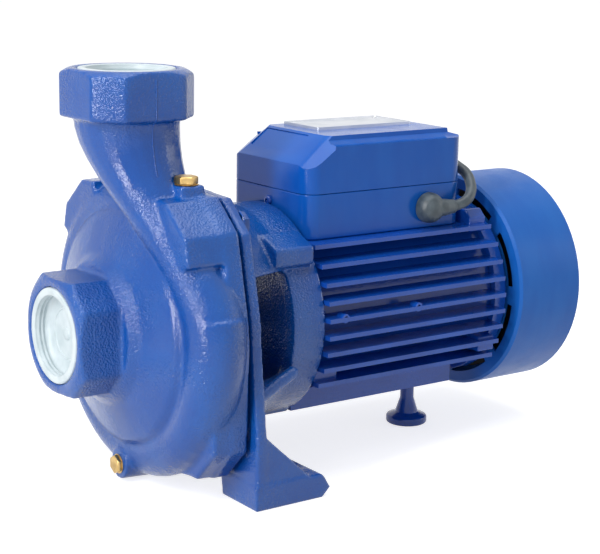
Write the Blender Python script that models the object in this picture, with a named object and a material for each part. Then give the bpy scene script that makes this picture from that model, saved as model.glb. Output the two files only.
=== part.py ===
"""Centrifugal water pump with its motor, modelled for Blender 4.5 in metres, +Z up.

The pump's axis lies along X, with the suction port at -X and the fan at +X.
The shapes are made about the pump's upright centre plane, and then all move sideways together, so
that the origin is on the floor under the middle of the whole pump.
"""
import math

import bmesh
import bpy
from mathutils import Matrix, Vector

for leftover in list(bpy.data.objects):
    bpy.data.objects.remove(leftover, do_unlink=True)

# Clearances
SEAT = 0.0003            # gap between faces that touch
JOIN = 0.002             # how far united shapes reach into each other
LEDGE = 0.0005           # step where one cast form grows out of another
WELD = 0.00002           # corners closer than this are one corner
HALF_SPACE = 0.03        # depth of a block that cuts along a plane

# Pump axis and threaded ports
AXIS_HEIGHT = 0.104
PORT_FLATS = 0.073
PORT_CORNER = 0.0155     # cut off each corner of the square boss
PORT_LENGTH = 0.031
PORT_FACE = 0.036        # radius of the flat face
PORT_CHAMFER = 0.0045
PORT_BACK_CHAMFER = 0.002
PORT_BORE = 0.0308       # radius
PORT_THROAT = 0.024      # radius of the bore behind the cap
PORT_BORE_DEPTH = 0.026
CAP_WALL = 0.005
CAP_DEPTH = 0.0125
CAP_FLOOR = 0.002
DISCHARGE_RISE = 0.165       # discharge face above the axis
DISCHARGE_SETBACK = 0.0538   # discharge centre behind the suction face

# Volute casing
CASING_DEPTH = 0.087     # suction face to flange joint
EYE_RADIUS = 0.045
EYE_ROUND = 0.004        # the cover leaves the boss in a curve of this size
COVER_RADIUS = 0.077
COVER_DEPTH = 0.017
BODY_RADIUS = 0.085      # between the spiral and the flange
SPIRAL_START = 0.0
SPIRAL_END = math.radians(282)
SPIRAL_RISE = math.radians(28)   # the spiral comes out of the body over this angle
SPIRAL_SINK = 0.010
SPIRAL_SLIM = 0.012      # spiral's section radius where it starts
SPIRAL_FULL = 0.0195     # and where the neck leaves it
SPIRAL_NEAR = 0.094      # spiral's reach from the axis where it starts
SPIRAL_FAR = 0.104       # and where the neck leaves it
SPIRAL_GROWTH = 1.4      # the higher, the later it grows
SPIRAL_SETBACK = 0.96    # share of its section radius that its centre lies behind the cover's rim
NECK_RADIUS = 0.0337     # under the discharge boss
NECK_PULL = 0.045        # how far the neck keeps its direction at the spiral
NECK_DROP = Vector((0.003, 0.013, -0.047))   # direction in which it leaves the discharge boss
NECK_FLARE = 2.4         # the higher, the later the neck widens
NECK_OVERLAP = math.radians(8)   # the neck starts this far inside the spiral
FLANGE_THICKNESS = 0.012
FLANGE_RADIUS = 0.092
LUG_FACE = 0.030         # width of a bolt lug's outer face
LUG_ROOT = 0.070         # the lugs reach inward to this radius
LUG_FLANK = 0.35         # share of the flange's straight flanks that a lug has
LUG_SHRINK = 0.9985      # a lug's size against the flange's outline at the joint
LUG_DRAFT = 0.985        # and at its front
TOP_LUG_RISE = 0.0115    # its outer face beyond the flange's round
TOP_LUG_ANGLE = math.radians(40)     # from the vertical
TOP_LUG_DEPTH = 0.038
LOW_LUG_RISE = 0.0185
LOW_LUG_ANGLE = math.radians(46)
LOW_LUG_DEPTH = 0.024
PAD_FRONT = 0.0245       # priming pad, in front of the flange joint
PAD_REAR = 0.0065
PAD_NEAR = 0.051         # its near and far sides, from the centre plane
PAD_FAR = 0.020
PAD_ROUND = 0.003
PAD_RISE = 0.004         # its top over the flange
PRIMING_INSET = 0.0158   # plug's centre in front of the flange joint
PRIMING_SIDE = -0.0425
PRIMING_FLATS = 0.013
PRIMING_HEAD = 0.0055
DRAIN_DROP = 0.092       # drain plug's centre below the axis
DRAIN_SIDE = 0.0
DRAIN_FLATS = 0.011
DRAIN_HEAD = 0.0035
DRAIN_BOSS = 0.0100      # radius at its face
DRAIN_BOSS_FOOT = 0.0115
DRAIN_BOSS_DEPTH = 0.026
DRAIN_REACH = 0.0022     # its face in front of the cover's rim

# Gasket and bracket
GASKET_THICKNESS = 0.0022
GASKET_INSET = 0.005     # behind the flange's round
GASKET_WIDTH = 0.016
PLATE_THICKNESS = 0.0075
PLATE_RADIUS = 0.0895
LANTERN_LENGTH = 0.037
LANTERN_FRONT_RADIUS = 0.084
LANTERN_REAR_RADIUS = 0.072
LANTERN_WALL = 0.009
WINDOW_TOP = 0.038       # above the axis
WINDOW_BOTTOM = 0.035    # below the axis at the plate
WINDOW_SLANT = 0.005     # the lower edge rises this much toward the motor
WINDOW_ROUND = 0.004
RING_LENGTH = 0.024
LEG_HALF_WIDTH = 0.097
LEG_WIDTH = 0.040
LEG_STRAIGHT = 0.045     # height over which the leg's side is upright
ARCH_HEIGHT = 0.034
FOOT_LENGTH = 0.0565
FOOT_THICKNESS = 0.0155
FOOT_NOSE = 0.006        # round at the rear end of the pad
GUSSET_HEIGHT = 0.052
GUSSET_THICKNESS = 0.012
GUSSET_TOE = 0.016       # pad's length behind the gusset
FOOT_HOLE = 0.0055       # radius
FOOT_HOLE_SEAT = 0.0095  # radius of the faced seat round it
FOOT_HOLE_INSET = 0.012  # hole's centre from the gusset
SEAT_DEPTH = 0.001
BOLT_RADIUS = 0.004
BOLT_FLATS = 0.013
BOLT_HEAD = 0.0053
BOLT_REACH = 0.014       # into the casing
BOLT_INSET = 0.010       # bolt's centre from the lug's face
SHAFT_RADIUS = 0.009
SHAFT_CLEARANCE = 0.003

# Motor
HOUSING_LENGTH = 0.152
HOUSING_RADIUS = 0.061
FIN_RADIUS = 0.077
FIN_THICKNESS = 0.003
FIN_PITCH = 0.0114
FIN_COUNT = 9
TOP_FIN = 0.050          # middle of the top fin above the axis
RAIL_HALF_WIDTH = 0.034
RAIL_DROP = 0.066        # rail's underside below the axis
RAIL_DEPTH = 0.014
RAIL_SHORT = 0.012       # the rail ends this far before the housing's rear
SHIELD_LENGTH = 0.0128
SHIELD_RADIUS = 0.0655
SHIELD_EDGE = 0.003
SHIELD_RECESS = 0.006
FAN_COVER_RADIUS = 0.078
FAN_COVER_LENGTH = 0.062
FAN_COVER_WALL = 0.0018
FAN_COVER_DOME = 0.005
FAN_COVER_ROUND = 0.016  # width of the round between its side and its grille
VENT_INNER = 0.063
VENT_OUTER = 0.069
VENT_COUNT = 8
VENT_SHARE = 0.75        # part of the ring that is open
GRILLE_SLOTS = 18
GRILLE_SLOT_WIDTH = 0.005
GRILLE_INNER = 0.016
GRILLE_OUTER = 0.060
FAN_RADIUS = 0.066
FAN_HUB_RADIUS = 0.018
FAN_DISC = 0.002
FAN_SETBACK = 0.008      # behind the front wall of its cover
FAN_BLADES = 8
FAN_BLADE_THICKNESS = 0.002
FAN_DEPTH = 0.026

# Terminal box
BOX_LENGTH = 0.134
BOX_SETBACK = 0.002      # behind the front of the housing
BOX_HALF_WIDTH = 0.046
BOX_SEAM = 0.0817        # above the axis, as the next three
BOX_NOSE = 0.1005        # top of the front face
BOX_SHOULDER = 0.1125    # top of the side walls
BOX_TOP = 0.1182
BOX_CORNER = 0.011
PLATEAU_HALF_WIDTH = 0.036
PLATEAU_FRONT = 0.023    # behind the front face
PLATEAU_REAR = 0.009     # before the rear face
HIP_DROP = 0.0015        # the slanted front corners start this far below the nose
HIP_INSET = 0.006        # and end this far along the side
HIP_TOP = 0.028          # and reach the plateau's front edge here
CHANNEL_FLOOR = 0.002    # width of the flat between shoulder and plateau
GLAND_RADIUS = 0.0105
GLAND_LENGTH = 0.010
GLAND_RISE = 0.066       # above the axis
GLAND_INSET = 0.033      # before the rear face of the box
SPOUT_RADIUS = 0.006
LEAD_RADIUS = 0.00375
LEAD_GAP = 0.0005
LEAD_SWEEP = 0.0105      # how far the lead stands behind the box

# Rear foot
REAR_FOOT_SETBACK = 0.129    # behind the front of the housing
REAR_FOOT_RADIUS = 0.015
REAR_FOOT_STEM = 0.005
REAR_FOOT_PAD = 0.006
REAR_FOOT_CONE = 0.019
REAR_FOOT_NECK = 0.0085
REAR_FOOT_EDGE = 0.001

# Stations along X, front to back
OVERALL_LENGTH = (CASING_DEPTH + GASKET_THICKNESS + 2 * SEAT + PLATE_THICKNESS + LANTERN_LENGTH
                  + RING_LENGTH + SEAT + HOUSING_LENGTH + SEAT + SHIELD_LENGTH + FAN_COVER_LENGTH)
SUCTION_FACE = -OVERALL_LENGTH / 2
EYE_STATION = SUCTION_FACE + PORT_LENGTH
COVER_RIM = EYE_STATION + COVER_DEPTH
CASING_REAR = SUCTION_FACE + CASING_DEPTH
PLATE_FRONT = CASING_REAR + GASKET_THICKNESS + 2 * SEAT
PLATE_REAR = PLATE_FRONT + PLATE_THICKNESS
RING_FRONT = PLATE_REAR + LANTERN_LENGTH
RING_REAR = RING_FRONT + RING_LENGTH
HOUSING_FRONT = RING_REAR + SEAT
HOUSING_REAR = HOUSING_FRONT + HOUSING_LENGTH
SHIELD_FRONT = HOUSING_REAR + SEAT
SHIELD_REAR = SHIELD_FRONT + SHIELD_LENGTH
BOX_FRONT = HOUSING_FRONT + BOX_SETBACK
BOX_REAR = BOX_FRONT + BOX_LENGTH
DISCHARGE_X = SUCTION_FACE + DISCHARGE_SETBACK
PRIMING_X = CASING_REAR - PRIMING_INSET
DRAIN_FACE = COVER_RIM - DRAIN_REACH
GLAND_X = BOX_REAR - GLAND_INSET

# Levels above the floor
DISCHARGE_TOP = AXIS_HEIGHT + DISCHARGE_RISE
PRIMING_TOP = AXIS_HEIGHT + FLANGE_RADIUS + PAD_RISE
DRAIN_LEVEL = AXIS_HEIGHT - DRAIN_DROP
BOX_BOTTOM = AXIS_HEIGHT + TOP_FIN + FIN_THICKNESS / 2 + SEAT
SEAM_LEVEL = AXIS_HEIGHT + BOX_SEAM
SHOULDER_LEVEL = AXIS_HEIGHT + BOX_SHOULDER
BOX_TOP_LEVEL = AXIS_HEIGHT + BOX_TOP
GLAND_LEVEL = AXIS_HEIGHT + GLAND_RISE
RAIL_BOTTOM = AXIS_HEIGHT - RAIL_DROP
RAIL_TOP = RAIL_BOTTOM + RAIL_DEPTH

# Derived sizes
LEAD_OFFSET = BOX_HALF_WIDTH + SEAT + SPOUT_RADIUS + LEAD_GAP
SHAFT_BORE = SHAFT_RADIUS + SHAFT_CLEARANCE
LUGS = ((TOP_LUG_ANGLE, TOP_LUG_RISE, TOP_LUG_DEPTH), (math.pi - LOW_LUG_ANGLE, LOW_LUG_RISE, LOW_LUG_DEPTH),
        (math.pi + LOW_LUG_ANGLE, LOW_LUG_RISE, LOW_LUG_DEPTH), (math.tau - TOP_LUG_ANGLE, TOP_LUG_RISE, TOP_LUG_DEPTH))

PAINT = ("blue_paint", (0.013, 0.058, 0.34, 1.0), 0.3, 0.0)
PLASTIC = ("blue_plastic", (0.022, 0.10, 0.42, 1.0), 0.38, 0.0)
WHITE = ("white_plastic", (0.80, 0.86, 0.88, 1.0), 0.4, 0.0)
BRASS = ("brass", (0.62, 0.42, 0.16, 1.0), 0.3, 1.0)
RUBBER = ("grey_rubber", (0.075, 0.095, 0.105, 1.0), 0.55, 0.0)
STEEL = ("steel", (0.35, 0.36, 0.38, 1.0), 0.35, 1.0)
BLACK = ("black_gasket", (0.01, 0.01, 0.012, 1.0), 0.7, 0.0)
SMOOTH_BELOW = math.radians(32)


def material(finish):
    """A Principled material from a (name, colour, roughness, metallic) finish."""
    name, colour, roughness, metallic = finish
    made = bpy.data.materials.get(name) or bpy.data.materials.new(name)
    made.use_nodes = True
    shader = made.node_tree.nodes["Principled BSDF"]
    shader.inputs["Base Color"].default_value = colour
    shader.inputs["Roughness"].default_value = roughness
    shader.inputs["Metallic"].default_value = metallic
    return made


def keep(name, bm, finish=None):
    """Turn a bmesh into an object, as a piece with a finish or as a hidden guide without one."""
    bmesh.ops.recalc_face_normals(bm, faces=bm.faces)
    mesh = bpy.data.meshes.new(name)
    bm.to_mesh(mesh)
    bm.free()
    made = bpy.data.objects.new(name, mesh)
    bpy.context.scene.collection.objects.link(made)
    if finish:
        mesh.materials.append(material(finish))
        for face in mesh.polygons:
            face.use_smooth = True
        mesh.set_sharp_from_angle(angle=SMOOTH_BELOW)
    else:
        made.hide_render = True
        made.display_type = "WIRE"
    return made


def frame(axis):
    """Rotation that carries the local Z axis onto the named world axis."""
    if axis == "X":
        return Matrix(((0, 0, 1), (1, 0, 0), (0, 1, 0)))
    if axis == "Y":
        return Matrix(((1, 0, 0), (0, 0, 1), (0, 1, 0)))
    return Matrix.Identity(3)


def prism(name, outline, start, end, axis, finish=None):
    """Extrude an outline from one station to another along an axis.

    The outline's points are (y, z) for X, (x, z) for Y and (x, y) for Z.
    """
    bm = bmesh.new()
    turn = frame(axis)
    corners = [bm.verts.new(turn @ Vector((a, b, start))) for a, b in outline]
    face = bm.faces.new(corners)
    grown = bmesh.ops.extrude_face_region(bm, geom=[face])
    moved = [item for item in grown["geom"] if isinstance(item, bmesh.types.BMVert)]
    bmesh.ops.translate(bm, verts=moved, vec=turn @ Vector((0, 0, end - start)))
    return keep(name, bm, finish)


def box(name, low, high, finish=None):
    """A box between two corners."""
    outline = [(low[0], low[1]), (high[0], low[1]), (high[0], high[1]), (low[0], high[1])]
    return prism(name, outline, low[2], high[2], "Z", finish)


def turned(name, profile, centre, axis, finish=None, segments=64):
    """Spin a closed profile of (station, radius) points about an axis through centre."""
    bm = bmesh.new()
    verts = [bm.verts.new((radius, 0, station)) for station, radius in profile]
    edges = [bm.edges.new((verts[i - 1], verts[i])) for i in range(len(verts))]
    edges = [edge for edge in edges if max(abs(vert.co.x) for vert in edge.verts) > 1e-7]
    bmesh.ops.spin(bm, geom=verts + edges, cent=(0, 0, 0), axis=(0, 0, 1),
                   angle=math.tau, steps=segments, use_merge=True)
    bmesh.ops.remove_doubles(bm, verts=bm.verts, dist=1e-6)
    loose = [edge for edge in bm.edges if not edge.link_faces]
    bmesh.ops.delete(bm, geom=loose, context="EDGES")
    bmesh.ops.transform(bm, matrix=Matrix.Translation(centre) @ frame(axis).to_4x4(), verts=bm.verts)
    return keep(name, bm, finish)


def rod(name, radius, start, end, place, axis, segments=16):
    """A plain round bar or drill between two stations."""
    centre = (0, *place) if axis == "X" else (*place, 0)
    return turned(name, [(start, 0), (start, radius), (end, radius), (end, 0)], centre, axis, segments=segments)


def lofted(name, rings, finish=None):
    """Skin a run of rings that all have the same number of points, and cap both ends."""
    bm = bmesh.new()
    loops = [[bm.verts.new(point) for point in ring] for ring in rings]
    count = len(rings[0])
    for near, far in zip(loops, loops[1:]):
        for i in range(count):
            bm.faces.new((near[i - 1], near[i], far[i], far[i - 1]))
    bm.faces.new(loops[0])
    bm.faces.new(loops[-1])
    return keep(name, bm, finish)


def combine(target, tool, operation):
    """Add a Boolean of the tool to the target and leave the tool as a hidden guide."""
    tool.hide_render = True
    tool.display_type = "WIRE"
    step = target.modifiers.new(tool.name, "BOOLEAN")
    step.operation = operation
    step.object = tool
    step.solver = "EXACT"
    weld = target.modifiers.new(tool.name + "_weld", "WELD")
    weld.merge_threshold = WELD


def unite(target, *tools):
    for tool in tools:
        combine(target, tool, "UNION")


def cut(target, *tools):
    for tool in tools:
        combine(target, tool, "DIFFERENCE")


def half_space(name, corners):
    """Block over the plane through three corners, to cut off what stands above it."""
    middle = sum(corners, Vector()) / 3
    lift = (corners[1] - corners[0]).cross(corners[2] - corners[0]).normalized()
    lift *= math.copysign(HALF_SPACE, lift.z)
    low = [middle + (corner - middle) * 4 for corner in corners]
    return lofted(name, [low, [corner + lift for corner in low]])


def chamfered(low_a, high_a, low_b, high_b, corner):
    """Outline of a rectangle with its corners cut off."""
    return [(low_a + corner, low_b), (high_a - corner, low_b), (high_a, low_b + corner),
            (high_a, high_b - corner), (high_a - corner, high_b), (low_a + corner, high_b),
            (low_a, high_b - corner), (low_a, low_b + corner)]


def hexagon(flats, centre, turn=0.0):
    """Corners of a hexagon about a centre, turned by an angle."""
    reach = flats / math.sqrt(3)
    return [(centre[0] + reach * math.cos(turn + i * math.pi / 3),
             centre[1] + reach * math.sin(turn + i * math.pi / 3)) for i in range(6)]


def rounded(low_a, high_a, low_b, high_b, radius, steps=5):
    """Outline of a rectangle with round corners."""
    centres = ((high_a - radius, high_b - radius, 0), (low_a + radius, high_b - radius, 1),
               (low_a + radius, low_b + radius, 2), (high_a - radius, low_b + radius, 3))
    outline = []
    for a, b, quarter in centres:
        for i in range(steps + 1):
            angle = (quarter + i / steps) * math.pi / 2
            outline.append((a + radius * math.cos(angle), b + radius * math.sin(angle)))
    return outline


def polar(radius, angle):
    """Point of the pump's cross plane at an angle from the top, toward +Y."""
    return radius * math.sin(angle), AXIS_HEIGHT + radius * math.cos(angle)


def port_boss(name, face, inward, centre, axis):
    """Square boss with cut corners and turned chamfers, from its face inward along the axis."""
    half = PORT_FLATS / 2
    outline = chamfered(centre[0] - half, centre[0] + half, centre[1] - half, centre[1] + half, PORT_CORNER)
    boss = prism(name, outline, face, face + inward * PORT_LENGTH, axis)
    corner = math.hypot(half, half - PORT_CORNER) + JOIN
    profile = [(0, 0), (0, PORT_FACE), (inward * PORT_CHAMFER, corner),
               (inward * (PORT_LENGTH - PORT_BACK_CHAMFER), corner),
               (inward * (PORT_LENGTH + 2 * JOIN), corner - 2 * PORT_BACK_CHAMFER), (inward * (PORT_LENGTH + 2 * JOIN), 0)]
    place = (face, *centre) if axis == "X" else (*centre, face)
    combine(boss, turned(name + "_chamfer", profile, place, axis, segments=48), "INTERSECT")
    return boss


def port_bore(name, face, inward, centre, axis):
    """Counterbore for the cap with a narrower throat behind it."""
    seat = CAP_DEPTH + SEAT
    profile = [(-inward * JOIN, 0), (-inward * JOIN, PORT_BORE), (inward * seat, PORT_BORE),
               (inward * seat, PORT_THROAT), (inward * PORT_BORE_DEPTH, PORT_THROAT),
               (inward * PORT_BORE_DEPTH, 0)]
    place = (face, *centre) if axis == "X" else (*centre, face)
    return turned(name, profile, place, axis, segments=48)


def port_cap(name, face, inward, centre, axis):
    """White cup pushed into a port, open to the outside."""
    outer = PORT_BORE - SEAT
    inner = outer - CAP_WALL
    profile = [(0, inner), (0, outer), (inward * CAP_DEPTH, outer), (inward * CAP_DEPTH, 0),
               (inward * (CAP_DEPTH - CAP_FLOOR), 0), (inward * (CAP_DEPTH - CAP_FLOOR), inner)]
    place = (face, *centre) if axis == "X" else (*centre, face)
    return turned(name, profile, place, axis, WHITE, segments=48)


def spiral_ring(angle, count=24):
    """Section of the volute at an angle: a circle that comes out of the body and then grows."""
    share = (angle - SPIRAL_START) / (SPIRAL_END - SPIRAL_START)
    rise = min(1.0, (angle - SPIRAL_START) / SPIRAL_RISE)
    radius = (SPIRAL_SLIM + (SPIRAL_FULL - SPIRAL_SLIM) * share) * (1 + rise) / 2
    centre = SPIRAL_NEAR + (SPIRAL_FAR - SPIRAL_NEAR) * share ** SPIRAL_GROWTH - radius - SPIRAL_SINK * (1 - rise)
    ring = []
    for i in range(count):
        turn = math.tau * i / count
        x = COVER_RIM + radius * (SPIRAL_SETBACK + math.cos(turn))
        ring.append((x, *polar(centre + radius * math.sin(turn), angle)))
    return ring


def neck_rings(count=24, steps=14):
    """Sections of the neck, from inside the end of the spiral up into the discharge boss."""
    begin = SPIRAL_END - NECK_OVERLAP
    leaving = Vector((0, math.cos(begin), -math.sin(begin)))
    start = Vector((COVER_RIM + SPIRAL_SETBACK * SPIRAL_FULL, *polar(SPIRAL_FAR - SPIRAL_FULL, begin)))
    top = Vector((DISCHARGE_X, 0, DISCHARGE_TOP - PORT_LENGTH + 2 * JOIN))
    run = (start, start + NECK_PULL * leaving, top + NECK_DROP, top)
    rings = []
    for step in range(steps + 1):
        t = step / steps
        weights = ((1 - t) ** 3, 3 * t * (1 - t) ** 2, 3 * t * t * (1 - t), t ** 3)
        centre = sum((weight * point for weight, point in zip(weights, run)), Vector())
        along = leaving.lerp(Vector((0, 0, 1)), t).normalized()
        side = Vector((1, 0, 0))
        across = along.cross(side)
        growth = (t * t * (3 - 2 * t)) ** NECK_FLARE
        radius = SPIRAL_FULL + (NECK_RADIUS - SPIRAL_FULL) * growth - LEDGE * (1 - t) ** 6
        rings.append([centre + radius * (across * math.cos(a) + side * math.sin(a))
                      for a in (math.tau * i / count for i in range(count))])
    return rings


def arc_points(radius, start, end, steps):
    return [polar(radius, start + (end - start) * i / steps) for i in range(steps + 1)]


def lug_angles(radius, rise):
    """Reach of a lug's corners, and the angles to them and on to where its flanks touch the round."""
    corner = math.hypot(radius + rise, LUG_FACE / 2)
    spread = math.atan(LUG_FACE / 2 / (radius + rise))
    return corner, spread, math.acos(radius / corner)


def shoulder_outline(radius, rise, angle):
    """Quarter of the flange from its side to its top: the round, a bolt lug and the round again."""
    corner, spread, lean = lug_angles(radius, rise)
    side = arc_points(radius, math.pi / 2, angle + spread + lean, 3)
    face = [polar(corner, angle + spread), polar(corner, angle - spread)]
    return side + face + arc_points(radius, angle - spread - lean, 0, 2)


def flange_outline():
    """The casing's flange: a disc with a bolt lug at each corner."""
    upper = shoulder_outline(FLANGE_RADIUS, TOP_LUG_RISE, TOP_LUG_ANGLE)
    lower = [(y, 2 * AXIS_HEIGHT - z) for y, z in shoulder_outline(FLANGE_RADIUS, LOW_LUG_RISE, LOW_LUG_ANGLE)]
    right = lower[::-1] + upper[1:]
    return right + [(-y, z) for y, z in reversed(right[1:-1])]


def casing_lug(name, angle, rise, depth):
    """Block behind a bolt: it carries the flange's corner forward with a little draft."""
    corner, spread, lean = lug_angles(FLANGE_RADIUS, rise)
    outline = []
    for turn in (-1, 1):
        tip = Vector(polar(corner, angle + turn * spread))
        touch = Vector(polar(FLANGE_RADIUS, angle + turn * (spread + lean)))
        flank = tip.lerp(touch, LUG_FLANK)
        root = Vector(polar(LUG_ROOT, angle + turn * (spread + lean) * LUG_FLANK))
        outline += [root, flank, tip] if turn < 0 else [tip, flank, root]
    middle = Vector((0, AXIS_HEIGHT))
    stations = ((CASING_REAR - depth, LUG_DRAFT), (CASING_REAR - JOIN, LUG_SHRINK))
    rings = [[(x, *(middle + (point - middle) * scale)) for point in outline] for x, scale in stations]
    return lofted(name, rings)


def pump_casing():
    """The volute: suction eye, cover, spiral, neck, discharge boss and bolting flange.

    Returns how far it reaches on the near side.
    """
    back = CASING_REAR - FLANGE_THICKNESS / 2
    profile = [(EYE_STATION - JOIN, 0), (EYE_STATION - JOIN, EYE_RADIUS - JOIN),
               (EYE_STATION + EYE_ROUND, EYE_RADIUS + EYE_ROUND),
               (COVER_RIM - EYE_ROUND, COVER_RADIUS - EYE_ROUND), (COVER_RIM, COVER_RADIUS),
               (back, BODY_RADIUS), (back, 0)]
    casing = turned("pump_casing", profile, (0, 0, AXIS_HEIGHT), "X", PAINT, segments=72)
    turns = 42
    rings = [spiral_ring(SPIRAL_START + (SPIRAL_END - SPIRAL_START) * i / turns) for i in range(turns + 1)]
    spiral = lofted("casing_spiral", rings)
    neck = lofted("casing_neck", neck_rings())
    suction = port_boss("suction_boss", SUCTION_FACE, 1, (0, AXIS_HEIGHT), "X")
    discharge = port_boss("discharge_boss", DISCHARGE_TOP, -1, (DISCHARGE_X, 0), "Z")
    flange = prism("casing_flange", flange_outline(), CASING_REAR - FLANGE_THICKNESS, CASING_REAR, "X")
    pad = prism("priming_pad", rounded(CASING_REAR - PAD_FRONT, CASING_REAR - PAD_REAR, -PAD_NEAR, -PAD_FAR, PAD_ROUND),
                AXIS_HEIGHT + LUG_ROOT, PRIMING_TOP, "Z")
    drain = turned("drain_boss", [(0, 0), (0, DRAIN_BOSS), (DRAIN_BOSS_DEPTH, DRAIN_BOSS_FOOT),
                                  (DRAIN_BOSS_DEPTH, 0)], (DRAIN_FACE, DRAIN_SIDE, DRAIN_LEVEL), "X", segments=32)
    lugs = [casing_lug(f"casing_lug_{i + 1}", *lug) for i, lug in enumerate(LUGS)]
    unite(neck, discharge)
    unite(casing, spiral, neck, flange, *lugs, pad, drain, suction)
    cut(casing, port_bore("suction_bore", SUCTION_FACE, 1, (0, AXIS_HEIGHT), "X"),
        port_bore("discharge_bore", DISCHARGE_TOP, -1, (DISCHARGE_X, 0), "Z"),
        rod("priming_seat", PRIMING_FLATS / math.sqrt(3) + 2 * SEAT, PRIMING_TOP - LEDGE, PRIMING_TOP + EYE_ROUND * 3,
            (PRIMING_X, PRIMING_SIDE), "Z", 24))
    for i, place in enumerate(bolt_places()):
        cut(casing, rod(f"casing_tapping_{i + 1}", BOLT_RADIUS + SEAT, CASING_REAR - BOLT_REACH - SEAT,
                        CASING_REAR + JOIN, place, "X"))
    return min(y for ring in rings for x, y, z in ring)


def bolt_places():
    """Centres of the casing's bolts in the cross plane."""
    return [polar(FLANGE_RADIUS + rise - BOLT_INSET, angle) for angle, rise, depth in LUGS]


def gasket():
    """Flat joint between the casing and the bracket."""
    start = CASING_REAR + SEAT
    end = start + GASKET_THICKNESS
    outer = FLANGE_RADIUS - GASKET_INSET
    profile = [(start, outer - GASKET_WIDTH), (start, outer), (end, outer), (end, outer - GASKET_WIDTH)]
    turned("casing_gasket", profile, (0, 0, AXIS_HEIGHT), "X", BLACK, segments=48)


def front_foot(side):
    """One foot of the bracket: a pad and its gusset, and the drill for the holding-down bolt."""
    front = PLATE_FRONT - LEDGE
    rear = PLATE_FRONT + FOOT_LENGTH
    inner = side * (LEG_HALF_WIDTH - LEG_WIDTH - LEDGE)
    pad = prism(f"foot_pad_{side}", [(front, 0), (rear - FOOT_NOSE, 0), (rear, FOOT_NOSE),
                                     (rear - FOOT_NOSE, FOOT_THICKNESS), (front, FOOT_THICKNESS)],
                inner, side * LEG_HALF_WIDTH, "Y")
    root = PLATE_FRONT + JOIN
    toe = rear - GUSSET_TOE
    outer = side * (LEG_HALF_WIDTH - 2 * LEDGE)
    gusset = prism(f"foot_gusset_{side}", [(root, JOIN), (toe, JOIN), (toe, FOOT_THICKNESS + LEDGE),
                                           (PLATE_REAR + LEDGE, GUSSET_HEIGHT - FOOT_NOSE),
                                           (PLATE_REAR - JOIN, GUSSET_HEIGHT), (root, GUSSET_HEIGHT)],
                   outer - side * GUSSET_THICKNESS, outer, "Y")
    faced = FOOT_THICKNESS - SEAT_DEPTH
    hole = turned(f"foot_hole_{side}", [(-JOIN, 0), (-JOIN, FOOT_HOLE), (faced, FOOT_HOLE), (faced, FOOT_HOLE_SEAT),
                                        (FOOT_THICKNESS + JOIN, FOOT_HOLE_SEAT), (FOOT_THICKNESS + JOIN, 0)],
                  (toe, outer - side * (GUSSET_THICKNESS + FOOT_HOLE_INSET), 0), "Z", segments=24)
    return pad, gusset, hole


def motor_bracket():
    """One casting: front plate on two feet, open lantern and the ring that the motor sits in."""
    leg = LEG_HALF_WIDTH - LEDGE
    arch = LEG_HALF_WIDTH - LEG_WIDTH
    shoulder = shoulder_outline(PLATE_RADIUS, TOP_LUG_RISE, TOP_LUG_ANGLE)
    right = [(arch, LEDGE), (leg, LEDGE), (leg, LEG_STRAIGHT)] + shoulder
    bow = [(arch * math.cos(a), LEDGE + ARCH_HEIGHT * math.sin(a)) for a in
           (math.pi * i / 12 for i in range(1, 12))]
    outline = right + [(-y, z) for y, z in reversed(right[:-1])] + list(reversed(bow))
    bracket = prism("motor_bracket", outline, PLATE_FRONT, PLATE_REAR, "X", PAINT)
    front = PLATE_FRONT + JOIN
    lantern = turned("lantern", [(front, LANTERN_FRONT_RADIUS - LANTERN_WALL), (front, LANTERN_FRONT_RADIUS),
                                 (RING_FRONT, LANTERN_REAR_RADIUS), (RING_REAR, LANTERN_REAR_RADIUS),
                                 (RING_REAR, SHAFT_BORE), (RING_FRONT, SHAFT_BORE),
                                 (RING_FRONT, LANTERN_REAR_RADIUS - LANTERN_WALL)],
                     (0, 0, AXIS_HEIGHT), "X", segments=64)
    unite(lantern, box("bracket_rail", (front, -RAIL_HALF_WIDTH, RAIL_BOTTOM - JOIN),
                       (RING_REAR - JOIN, RAIL_HALF_WIDTH, RAIL_TOP)))
    cut(lantern, box("lantern_flat", (PLATE_FRONT, -LEG_HALF_WIDTH, 0), (HOUSING_REAR, LEG_HALF_WIDTH, RAIL_BOTTOM)))
    unite(bracket, lantern)
    for side in (-1, 1):
        pad, gusset, hole = front_foot(side)
        unite(bracket, pad, gusset)
        cut(bracket, hole)
    window = [(x, z + WINDOW_SLANT * (x - PLATE_REAR) / LANTERN_LENGTH if z < AXIS_HEIGHT else z) for x, z in
              rounded(PLATE_REAR + LEDGE, RING_FRONT - LEDGE, AXIS_HEIGHT - WINDOW_BOTTOM, AXIS_HEIGHT + WINDOW_TOP,
                      WINDOW_ROUND)]
    reach = LANTERN_FRONT_RADIUS + JOIN
    cut(bracket, prism("window_cut", window, -reach, reach, "Y"),
        rod("shaft_bore", SHAFT_BORE, PLATE_FRONT - JOIN, PLATE_REAR + JOIN, (0, AXIS_HEIGHT), "X", 32))
    for i, place in enumerate(bolt_places()):
        cut(bracket, rod(f"bracket_hole_{i + 1}", BOLT_RADIUS + SEAT, PLATE_FRONT - JOIN, PLATE_REAR + JOIN,
                         place, "X"))


def casing_bolts():
    """Hexagon screws through the bracket into the casing's lugs."""
    seat = PLATE_REAR + SEAT
    for i, place in enumerate(bolt_places()):
        name = f"casing_bolt_{i + 1}"
        bolt = prism(name, hexagon(BOLT_FLATS, place, math.pi / 6), seat, seat + BOLT_HEAD, "X", STEEL)
        unite(bolt, rod(name + "_shank", BOLT_RADIUS, CASING_REAR - BOLT_REACH, seat + JOIN, place, "X"))


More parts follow.
